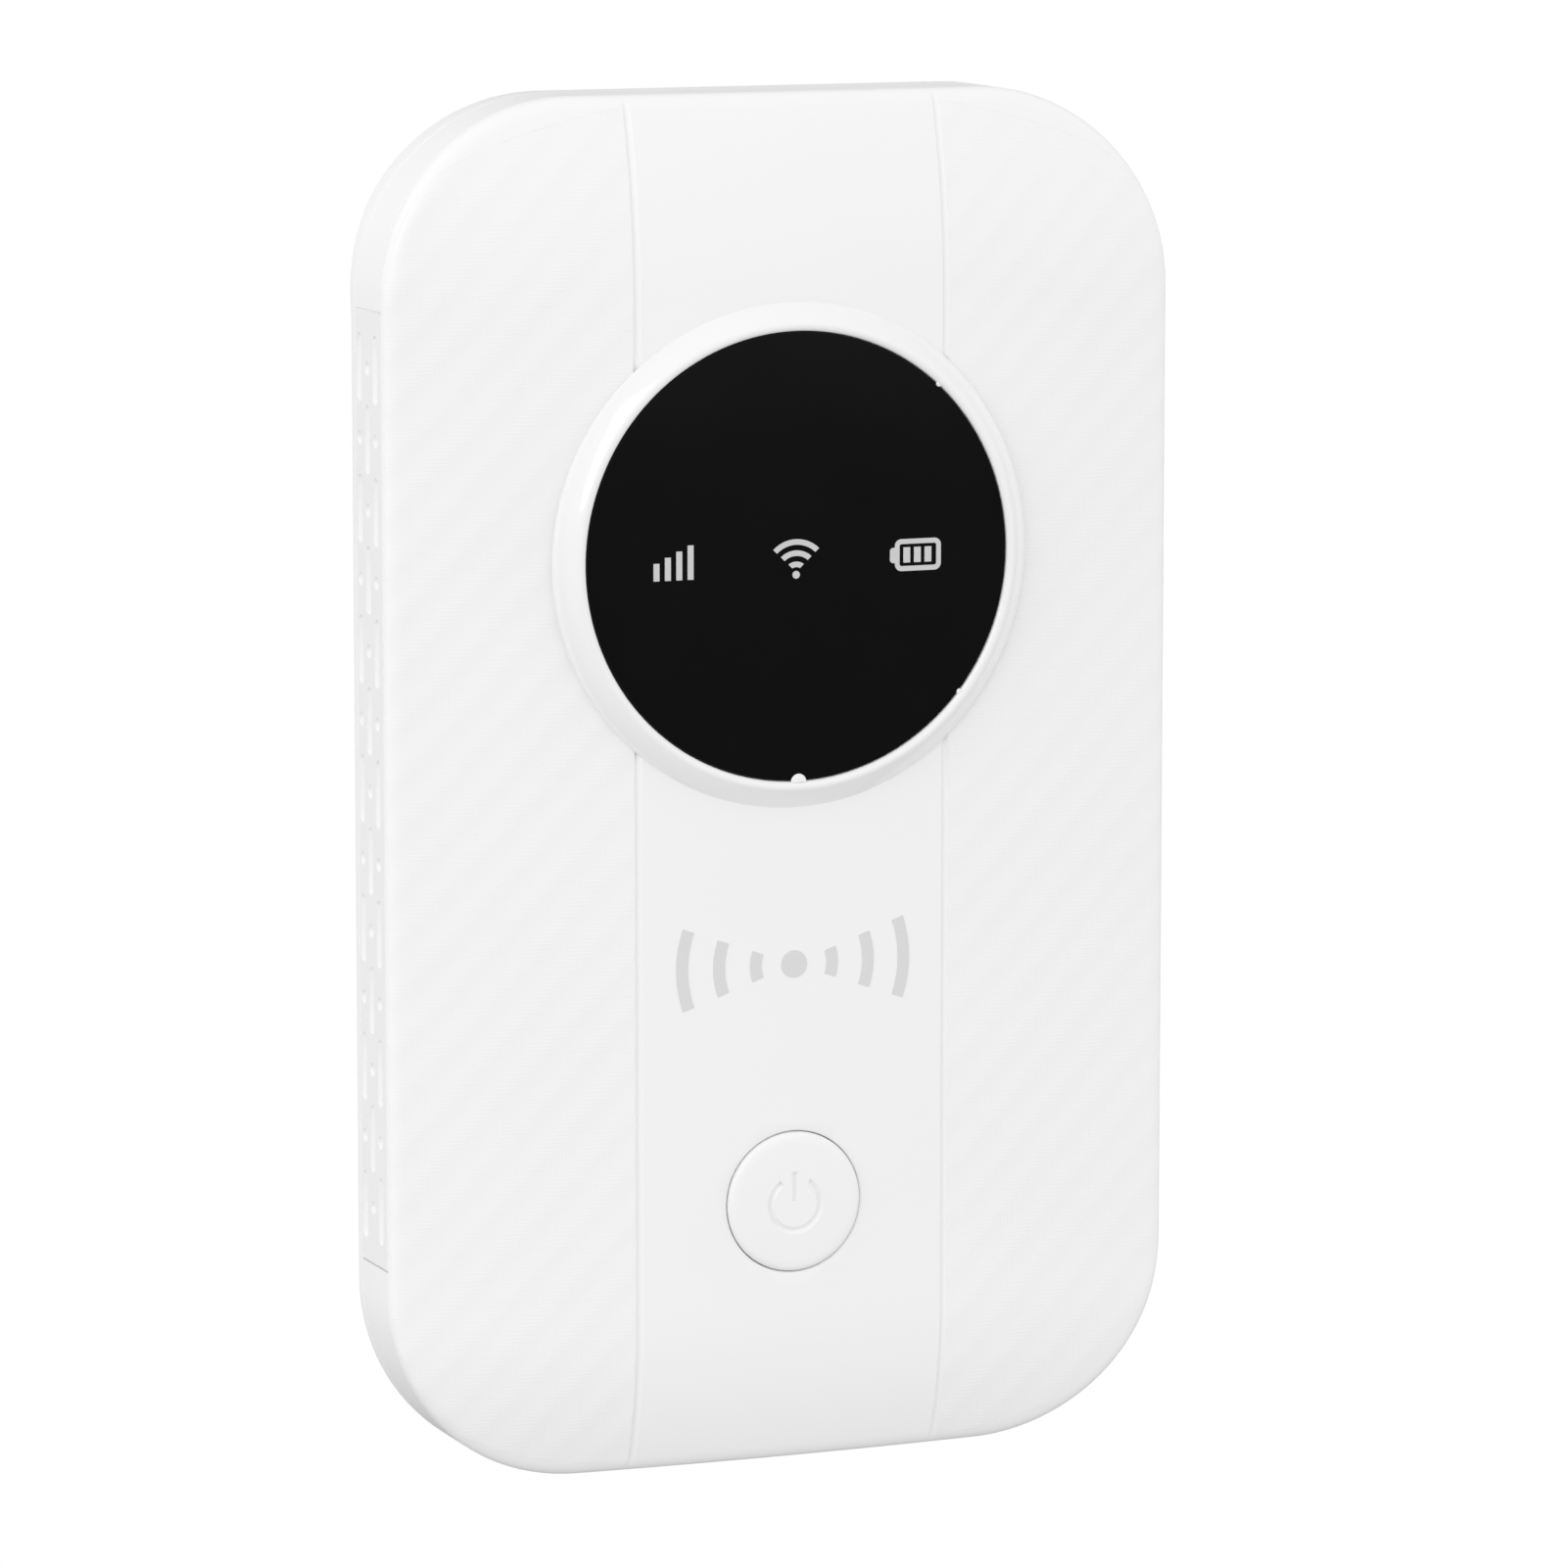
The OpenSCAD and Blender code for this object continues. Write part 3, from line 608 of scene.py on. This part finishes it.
def frame_web(usb_lo, usb_hi):
    """Floor of the battery bay with its windows, screw holes and the rib round the battery."""
    web_low, web_high = 6.3, 7.0
    web_loop = rectangle_loop((WIDTH - 2 * WALL_T, HEIGHT - 2 * WALL_T), CORNER_R - WALL_T,
                              centre=(0.0, HEIGHT / 2))
    web = finish_mesh("frame_web", mesh_of("frame_web", *loft(
        rings_at(web_loop, [(0.0, web_low), (0.0, web_high)]), closed=False)), "housing", "white_plastic")
    sim_lo, sim_hi = box_mm("sim_cover")
    block_lo, block_hi = box_mm("battery_block")
    reset_lo, reset_hi = box_mm("reset_plunger")
    cuts = [
        block(sim_lo[0] - 1, sim_hi[0] + 1, sim_lo[2] - 1, sim_hi[2] + 1, 5, 9),
        block(block_lo[0] - 0.5, block_hi[0] + 0.5, block_lo[2] - 0.4, cap_lo[2] + 0.4, 5, 9),
        block(usb_lo[0] - 0.4, usb_hi[0] + 0.4, 0, usb_hi[2] + 0.4, 5, 9),
        disc_block(RESET_HOLE_R, 5, 9, (reset_lo[2] + reset_hi[2]) / 2, (reset_lo[0] + reset_hi[0]) / 2, 40),
    ]
    for x, z in screw_places():
        cuts.append(disc_block(SCREW_HOLE_R, 5, 9, z, x, 32))
    boolean(web, [tool(c) for c in cuts])
    gap, rib = 0.3, 0.8
    size = (pack_hi[0] - pack_lo[0] + 2 * (gap + rib), pack_hi[2] - cap_lo[2] + 2 * (gap + rib))
    rib_loop = rectangle_loop(size, 1.6, centre=(0.0, (pack_hi[2] + cap_lo[2]) / 2), step=50, turns=8)
    top = REAR_SEAM - 0.25
    section = [(0.0, web_high), (0.0, top - 0.15), (0.15, top), (rib - 0.15, top),
               (rib, top - 0.15), (rib, web_high)]
    rail = finish_mesh("frame_rib", mesh_of("frame_rib", *loft(rings_at(rib_loop, section))),
                       "housing", "white_plastic")
    notch = block(block_lo[0] - 0.5, block_hi[0] + 0.5, cap_lo[2] - 4, cap_lo[2] + 0.2, 5, 9)
    boolean(rail, [tool(notch)])


def screw_places():
    """Centres of the frame screws, read from the group of screws."""
    mesh = frame["nodes"]["frame_screws"].data
    found = []
    for v in mesh.vertices:
        x, z = v.co.x / MM, v.co.z / MM
        near = [g for g in found if math.hypot(g[0] / g[2] - x, g[1] / g[2] - z) < SCREW_SPAN]
        if near:
            near[0][0] += x
            near[0][1] += z
            near[0][2] += 1
        else:
            found.append([x, z, 1])
    return [(sx / n, sz / n) for sx, sz, n in found]


# ---------------------------------------------------------------- side strips
SLOT_PITCH = 10.0
SLOT_LEN = 4.9
SLOT_W = 1.0
SLOT_DEPTH = 0.26
SLOT_COLUMNS = (4.05, 5.75, 7.45)
SLOT_GROUPS = 7


def scoop(z, depth, length):
    """Capsule that cuts one slot, or a dot when its length is its width, into the plane x = 0."""
    radius = (SLOT_W * SLOT_W / 4 + SLOT_DEPTH * SLOT_DEPTH) / (2 * SLOT_DEPTH)
    above = radius - SLOT_DEPTH
    straight = (length - SLOT_W) / 2
    around, along = 20, 8
    points, faces = [], []
    for k in range(2 * along + 1):
        a = math.pi / 2 * (k / along - 1)
        a = max(min(a, math.pi / 2 - 0.02), 0.02 - math.pi / 2)
        shift = math.copysign(straight, a) if abs(a) > 1e-6 else 0.0
        for s in range(around):
            b = 2 * math.pi * s / around
            points.append((above + radius * math.cos(a) * math.cos(b),
                           z + shift + radius * math.sin(a),
                           depth + radius * math.cos(a) * math.sin(b)))
    rows = 2 * along + 1
    for k in range(rows - 1):
        faces += [(k * around + s, k * around + (s + 1) % around,
                   (k + 1) * around + (s + 1) % around, (k + 1) * around + s) for s in range(around)]
    faces.append(tuple(range(around)))
    faces.append(tuple(range((rows - 1) * around, rows * around)))
    return points, faces


def side_strip(name, side, node):
    face_x = WIDTH / 2
    inner_x = face_x - 0.75
    mid_z = (STRIP_LOW + STRIP_HIGH) / 2
    front = rim_depth(face_x, HEIGHT / 2) + LAND + SEAM_GAP
    rear = REAR_SEAM
    section = [(inner_x, front), (face_x - LAND, front), (face_x, front + LAND),
               (face_x, rear - LAND), (face_x - LAND, rear), (inner_x, rear)]
    rings = []
    for z, pull in ((STRIP_LOW, STRIP_BEVEL), (STRIP_LOW + STRIP_BEVEL, 0.0),
                    (STRIP_HIGH - STRIP_BEVEL, 0.0), (STRIP_HIGH, STRIP_BEVEL)):
        rings.append([(side * (x - (pull if x > face_x - 0.01 else 0.0)), z, d) for x, d in section])
    strip = finish_mesh(name, mesh_of(name, *loft(rings, closed=False)), "housing", "strip_plastic", [node])
    first = mid_z - SLOT_PITCH * (SLOT_GROUPS - 1) / 2
    points, faces = [], []

    def add(z, depth, length):
        more, more_faces = scoop(z, depth, length)
        start = len(points)
        points.extend((side * (face_x + x), zz, d) for x, zz, d in more)
        faces.extend(tuple(start + k for k in f) for f in more_faces)

    for number, depth in enumerate(SLOT_COLUMNS):
        middle = number == 1
        long_first = first + (SLOT_PITCH / 2 if middle else 0.0)
        dot_first = first + (0.0 if middle else SLOT_PITCH / 2)
        for i in range(SLOT_GROUPS - (1 if middle else 0)):
            add(long_first + SLOT_PITCH * i, depth, SLOT_LEN)
        for i in range(SLOT_GROUPS - (0 if middle else 1)):
            add(dot_first + SLOT_PITCH * i, depth, SLOT_W)
    boolean(strip, [tool((points, faces))])


# ---------------------------------------------------------------- back cover
NOTCH_Z = 12.0
NOTCH_LEN = 8.0
NOTCH_H = 1.8


def back_depth(depth):
    """Depth of a ring of the rounded back edge, which falls away less at the top end."""
    def at(x, z):
        share = min(max((z - BACK_TURN_Z) / BACK_TURN, 0.0), 1.0)
        return depth + (DEPTH - depth) * BACK_TOP_FILL * share * share * (3 - 2 * share)
    return at


def back_cover():
    def arc(inset_from, inset_to, radius, steps):
        run = []
        for i in range(steps + 1):
            inset = inset_from + (inset_to - inset_from) * i / steps
            run.append((inset, DEPTH - BACK_R + math.sqrt(radius ** 2 - (BACK_LEN - inset) ** 2)))
        return run

    seam = REAR_SEAM + SEAM_GAP
    outer = arc(0.0, BACK_LEN, BACK_R, 16)
    inner = arc(BACK_T, BACK_LEN, BACK_R - BACK_T, 12)
    lip_in, lip_top = WALL_T + 0.1, REAR_SEAM - 0.8
    edge = round_corners([(0.0, seam + LAND), outer[0], outer[1]], 0.45, 5)
    rounding = [(inset, back_depth(d)) for inset, d in edge[1:-1] + outer[1:]]
    profile = list(reversed(inner)) + [
        (BACK_T, seam + 0.6), (lip_in + 0.8, seam + 0.6), (lip_in + 0.8, lip_top), (lip_in, lip_top),
        (lip_in, seam), (LAND, seam), (0.0, seam + LAND)] + rounding
    cover = finish_mesh("cover", mesh_of("cover", *loft(rings_at(BODY_LOOP, profile), closed=False)),
                        "cover", "white_plastic", ["back_cover"])
    notch = rectangle_loop((NOTCH_LEN, NOTCH_H), 0.6, centre=(NOTCH_Z, 0.0), step=10, turns=6)
    rings = [[(x, z, seam + d) for z, d, _, _ in notch] for x in (WIDTH / 2 - 0.8, WIDTH / 2 + 1)]
    boolean(cover, [tool(loft(rings, closed=False))])


# ---------------------------------------------------------------- battery
PAD_COUNT = 4
PAD_STEP = 3.0


def rounded_slab(name, lo, hi, corner, edge, body, slot, nodes, turns=8):
    """Box between two corners with round corners seen from the back and softened edges."""
    size = (hi[0] - lo[0], hi[2] - lo[2])
    loop = rectangle_loop(size, corner, centre=((lo[0] + hi[0]) / 2, (lo[2] + hi[2]) / 2), step=60,
                          turns=turns)
    front, back = lo[1] - FACE_Y, hi[1] - FACE_Y
    side = round_corners([(edge * 2, front), (0.0, front), (0.0, back), (edge * 2, back)], edge, 5)
    return finish_mesh(name, mesh_of(name, *loft(rings_at(loop, side), closed=False)), body, slot, nodes)


def battery():
    rounded_slab("battery_body", pack_lo, pack_hi, 1.5, 0.5, "battery", "battery_wrap", ["battery_pack"])
    cap = rounded_slab("battery_end", cap_lo, cap_hi, 0.5, 0.25, "battery", "black_plastic", ["battery_cap"])
    pads_lo, pads_hi = box_mm("battery_pads")
    recess = []
    for i in range(PAD_COUNT):
        x = (pads_lo[0] + pads_hi[0]) / 2 + PAD_STEP * (i - (PAD_COUNT - 1) / 2)
        recess.append(tool(block(x - 1, x + 1, cap_lo[2] - 1, cap_lo[2] + 0.6, pads_lo[1] - FACE_Y,
                                 pads_hi[1] - FACE_Y)))
    boolean(cap, recess)


front_shell()
display_ring()
display_window()
front_mark()
power_button()
mid_frame()
side_strip("strip_left", -1, "left_side_strip")
side_strip("strip_right", 1, "right_side_strip")
back_cover()
battery()


# ---------------------------------------------------------------- materials
class Graph:
    """Short way to write a material's nodes."""

    def __init__(self, name):
        self.material = bpy.data.materials.new(name)
        self.material.use_nodes = True
        self.tree = self.material.node_tree
        self.shader = self.tree.nodes["Principled BSDF"]

    def add(self, kind, settings=None, **inputs):
        node = self.tree.nodes.new("ShaderNode" + kind)
        for key, value in (settings or {}).items():
            setattr(node, key, value)
        for key, value in inputs.items():
            self.feed(node, key.replace("_", " "), value)
        return node

    def feed(self, node, name, value):
        socket = node.inputs[int(name)] if name.isdigit() else node.inputs[name]
        if hasattr(value, "is_output"):
            self.tree.links.new(value, socket)
        elif isinstance(value, bpy.types.Node):
            self.tree.links.new(value.outputs[0], socket)
        else:
            socket.default_value = value

    def math(self, operation, a, b=None, c=None):
        node = self.add("Math", {"operation": operation})
        for i, value in enumerate((a, b, c)):
            if value is not None:
                self.feed(node, str(i), value)
        return node.outputs[0]

    def place(self):
        """Position on the piece, in millimetres."""
        where = self.add("TexCoord")
        scaled = self.add("VectorMath", {"operation": "SCALE"})
        self.feed(scaled, "0", where.outputs["Object"])
        scaled.inputs["Scale"].default_value = 1 / MM
        return scaled.outputs[0]

    def noise(self, where, scale, detail=3.0):
        return self.add("TexNoise", Vector=where, Scale=scale, Detail=detail).outputs[0]

    def spread(self, value, low, high):
        """Maps a 0 to 1 value to a range."""
        node = self.add("MapRange", Value=value)
        node.inputs["To Min"].default_value = low
        node.inputs["To Max"].default_value = high
        return node.outputs[0]

    def tint(self, value, dark, light):
        node = self.add("MixRGB", {"blend_type": "MIX"})
        self.feed(node, "0", value)
        node.inputs[1].default_value = (*dark, 1)
        node.inputs[2].default_value = (*light, 1)
        return node.outputs[0]

    def bump(self, height, strength, distance_mm, normal=None):
        node = self.add("Bump", Height=height, Strength=strength, Distance=distance_mm * MM)
        if normal is not None:
            self.feed(node, "Normal", normal)
        return node.outputs[0]

    def set(self, **values):
        for key, value in values.items():
            self.feed(self.shader, key.replace("_", " "), value)
        return self.material


def shade(colour, amount):
    return tuple(min(c * amount, 1.0) for c in colour)


def moulded(name, colour, roughness, grain=0.25, grain_mm=0.004, specular=0.5, vary=0.02):
    """Moulded plastic: fine grain, and slow changes of tone and gloss."""
    g = Graph(name)
    where = g.place()
    slow = g.noise(where, 0.09)
    fine = g.noise(where, 1 / grain, 2.0)
    g.set(Base_Color=g.tint(slow, shade(colour, 1 - vary), shade(colour, 1 + vary)),
          Roughness=g.spread(g.noise(where, 0.3), roughness * 0.88, roughness * 1.12),
          Normal=g.bump(fine, 0.5, grain_mm), Specular_IOR_Level=specular)
    return g.material


def woven_shell(name, colour, roughness):
    """White shell: smooth middle band, and a faint carbon-style twill on both wings."""
    g = Graph(name)
    where = g.place()
    axes = g.add("SeparateXYZ", Vector=where)
    x, y, z = axes.outputs
    cell = 0.95
    column = g.math("FLOOR", g.math("DIVIDE", x, cell))
    row = g.math("FLOOR", g.math("DIVIDE", z, cell))
    step = g.math("FLOORED_MODULO", g.math("SUBTRACT", column, row), 4.0)
    warp = g.math("LESS_THAN", step, 2.0)
    threads = 0.27
    across = g.math("SINE", g.math("MULTIPLY", z, 2 * math.pi / threads))
    along = g.math("SINE", g.math("MULTIPLY", x, 2 * math.pi / threads))
    weft_height = g.math("MULTIPLY_ADD", across, 0.35, 0.65)
    warp_height = g.math("MULTIPLY_ADD", along, 0.12, 0.3)
    weave = g.math("ADD", g.math("MULTIPLY", warp, warp_height),
                   g.math("MULTIPLY", g.math("SUBTRACT", 1.0, warp), weft_height))
    wing = g.math("GREATER_THAN", g.math("ABSOLUTE", x), GROOVE_X + GROOVE_HALF)
    front = g.math("LESS_THAN", y, FACE_Y + 2.35)
    rise = g.math("MULTIPLY", g.math("SUBTRACT", z, x), math.pi / (2 * cell))
    relief = g.math("ADD", g.math("MULTIPLY", weave, g.spread(g.noise(where, 0.1), 0.2, 1.1)),
                    g.math("MULTIPLY", g.math("SINE", rise), 1.3))
    height = g.math("MULTIPLY", relief, g.math("MULTIPLY", wing, front))
    grain = g.bump(g.noise(where, 4.0, 2.0), 0.4, 0.003)
    slow = g.noise(where, 0.07)
    g.set(Base_Color=g.tint(slow, shade(colour, 0.985), shade(colour, 1.01)),
          Roughness=g.spread(g.noise(where, 0.25), roughness * 0.9, roughness * 1.1),
          Normal=g.bump(height, 0.9, 0.013, grain), Specular_IOR_Level=0.32)
    return g.material


def smoked_window(name):
    g = Graph(name)
    where = g.place()
    dust = g.noise(where, 3.0, 6.0)
    g.set(Base_Color=g.tint(g.noise(where, 0.15), (0.0038, 0.0038, 0.0039), (0.0054, 0.0054, 0.0055)),
          Roughness=g.spread(dust, 0.09, 0.16), Specular_IOR_Level=0.14)
    return g.material


def printed(name, colour):
    g = Graph(name)
    where = g.place()
    speckle = g.noise(where, 6.0, 4.0)
    g.set(Base_Color=g.tint(speckle, shade(colour, 0.96), shade(colour, 1.03)),
          Roughness=g.spread(speckle, 0.5, 0.65), Normal=g.bump(speckle, 0.2, 0.004),
          Specular_IOR_Level=0.3)
    return g.material


def metal(name, colour, roughness, brushed=(8.0, 0.6)):
    """Plated metal with fine drawn lines and slightly tarnished patches."""
    g = Graph(name)
    where = g.place()
    stretch = g.add("VectorMath", {"operation": "MULTIPLY"})
    g.feed(stretch, "0", where)
    stretch.inputs[1].default_value = (brushed[0], brushed[1], brushed[1])
    lines = g.noise(stretch.outputs[0], 2.0, 3.0)
    patch = g.noise(where, 0.5)
    g.set(Base_Color=g.tint(patch, shade(colour, 0.9), shade(colour, 1.05)), Metallic=1.0,
          Roughness=g.spread(lines, roughness * 0.8, roughness * 1.3),
          Normal=g.bump(lines, 0.3, 0.004))
    return g.material


def laminate(name):
    """Circuit board: green solder resist over a faint grid of tracks."""
    g = Graph(name)
    where = g.place()
    tracks = g.add("TexBrick", {"offset": 0.5}, Vector=where, Scale=0.6)
    tracks.inputs["Color1"].default_value = (0.012, 0.09, 0.04, 1)
    tracks.inputs["Color2"].default_value = (0.018, 0.12, 0.05, 1)
    tracks.inputs["Mortar"].default_value = (0.03, 0.17, 0.075, 1)
    tracks.inputs["Mortar Size"].default_value = 0.03
    g.set(Base_Color=tracks.outputs["Color"], Roughness=g.spread(g.noise(where, 0.6), 0.3, 0.45),
          Normal=g.bump(tracks.outputs["Fac"], 0.4, 0.02))
    return g.material


def battery_wrap(name):
    """Shrink-wrapped battery: charcoal film with soft creases."""
    g = Graph(name)
    where = g.place()
    crease = g.noise(where, 0.35, 5.0)
    g.set(Base_Color=g.tint(crease, (0.055, 0.058, 0.065), (0.075, 0.078, 0.086)),
          Roughness=g.spread(g.noise(where, 1.5), 0.32, 0.48), Normal=g.bump(crease, 0.35, 0.05),
          Specular_IOR_Level=0.4)
    return g.material


WHITE = (0.867, 0.867, 0.867)
MATERIALS = {
    "white_plastic": woven_shell("white_plastic", WHITE, 0.42),
    "ring_plastic": moulded("ring_plastic", shade(WHITE, 1.005), 0.07, 0.8, 0.0004, 0.6, 0.004),
    "strip_plastic": moulded("strip_plastic", shade(WHITE, 0.99), 0.4),
    "window_black": smoked_window("window_black"),
    "adhesive": moulded("adhesive", (0.03, 0.03, 0.03), 0.8),
    "icon_ink": printed("icon_ink", (0.58, 0.58, 0.58)),
    "mark_ink": printed("mark_ink", (0.68, 0.68, 0.68)),
    "black_plastic": moulded("black_plastic", (0.022, 0.022, 0.024), 0.5, 0.3, 0.01),
    "ivory_plastic": moulded("ivory_plastic", (0.72, 0.67, 0.52), 0.45),
    "led_body": moulded("led_body", (0.8, 0.75, 0.55), 0.25),
    "screw_steel": metal("screw_steel", (0.6, 0.6, 0.61), 0.28),
    "board_laminate": laminate("board_laminate"),
    "shield_tin": metal("shield_tin", (0.64, 0.64, 0.62), 0.3),
    "chip_resin": moulded("chip_resin", (0.03, 0.03, 0.033), 0.6, 0.15, 0.008),
    "ferrite": moulded("ferrite", (0.06, 0.06, 0.065), 0.7, 0.12, 0.015),
    "pad_silicone": moulded("pad_silicone", (0.32, 0.46, 0.58), 0.7, 0.4, 0.02),
    "contact_gold": metal("contact_gold", (0.9, 0.66, 0.28), 0.22),
    "antenna_film": metal("antenna_film", (0.78, 0.44, 0.24), 0.35),
    "label_paper": printed("label_paper", (0.8, 0.8, 0.78)),
    "battery_wrap": battery_wrap("battery_wrap"),
}

slots = {row["node"]: row["material_slot"] for row in frame["record"]["subparts"]}
for piece in bpy.context.scene.objects:
    if piece.type != "MESH":
        continue
    name = slots.get(piece.name, piece.get("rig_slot"))
    if name:
        piece.data.materials.clear()
        piece.data.materials.append(MATERIALS[name])


# ---------------------------------------------------------------- light and camera
def softbox(name, place, size, watts, reflected):
    """Square-on panel that gives either only a reflection or only soft light."""
    target = Vector((0.0, FACE_Y * MM, DISC_Z * MM))
    data = bpy.data.lights.new(name, "AREA")
    data.shape = "RECTANGLE"
    data.size, data.size_y = size
    data.energy = watts
    light = bpy.data.objects.new(name, data)
    light.location = place
    light.rotation_euler = (target - light.location).to_track_quat("-Z", "Y").to_euler()
    light.visible_diffuse = not reflected
    light.visible_glossy = reflected
    bpy.context.scene.collection.objects.link(light)


def studio_world():
    """White backdrop, soft light from all round that is weaker from below, and a dim room to reflect."""
    world = bpy.data.worlds.new("studio")
    bpy.context.scene.world = world
    world.use_nodes = True
    nodes, links = world.node_tree.nodes, world.node_tree.links
    nodes.clear()
    where = nodes.new("ShaderNodeTexCoord")
    axes = nodes.new("ShaderNodeSeparateXYZ")
    links.new(where.outputs["Generated"], axes.inputs[0])

    def ramp(stops):
        node = nodes.new("ShaderNodeValToRGB")
        height = nodes.new("ShaderNodeMapRange")
        height.inputs["From Min"].default_value = -1
        links.new(axes.outputs["Z"], height.inputs["Value"])
        links.new(height.outputs[0], node.inputs["Fac"])
        while len(node.color_ramp.elements) < len(stops):
            node.color_ramp.elements.new(0.5)
        for element, (at, level) in zip(node.color_ramp.elements, stops):
            element.position = at
            element.color = (level, level, level, 1)
        return node.outputs["Color"]

    diffuse = ramp([(0.0, 0.37), (0.4, 0.93), (0.52, 1.4), (0.66, 1.3), (1.0, 0.76)])
    glossy = ramp([(0.0, 0.08), (0.5, 0.14), (0.6, 0.38), (1.0, 0.45)])
    rays = nodes.new("ShaderNodeLightPath")

    def mix(factor, a, b):
        node = nodes.new("ShaderNodeMixRGB")
        links.new(factor, node.inputs[0])
        for socket, value in ((node.inputs[1], a), (node.inputs[2], b)):
            if isinstance(value, tuple):
                socket.default_value = value
            else:
                links.new(value, socket)
        return node.outputs[0]

    light = mix(rays.outputs["Is Glossy Ray"], diffuse, glossy)
    seen = mix(rays.outputs["Is Camera Ray"], light, (1, 1, 1, 1))
    background = nodes.new("ShaderNodeBackground")
    links.new(seen, background.inputs["Color"])
    output = nodes.new("ShaderNodeOutputWorld")
    links.new(background.outputs[0], output.inputs["Surface"])


def studio_camera():
    """The photograph's viewpoint: turned to the left of the front and slightly above."""
    turn, rise, distance = math.radians(21.87), math.radians(8.40), 0.5635
    aim = Vector((-0.0007, -0.0058, 0.0498))
    back = Vector((-math.sin(turn) * math.cos(rise), -math.cos(turn) * math.cos(rise), math.sin(rise)))
    data = bpy.data.cameras.new("camera")
    data.sensor_width = 36
    data.lens = 181.06
    data.clip_start = 0.01
    camera = bpy.data.objects.new("camera", data)
    camera.location = aim + back * distance
    camera.rotation_euler = (-back).to_track_quat("-Z", "Y").to_euler()
    bpy.context.scene.collection.objects.link(camera)
    bpy.context.scene.camera = camera


studio_world()
softbox("window_left", (-0.70, -0.81, 0.62), (0.6, 0.8), 3.2, reflected=True)
softbox("fill_left", (-1.2, -0.4, 0.42), (0.8, 0.8), 2.2, reflected=False)
studio_camera()
bpy.context.scene.view_settings.view_transform = "Standard"
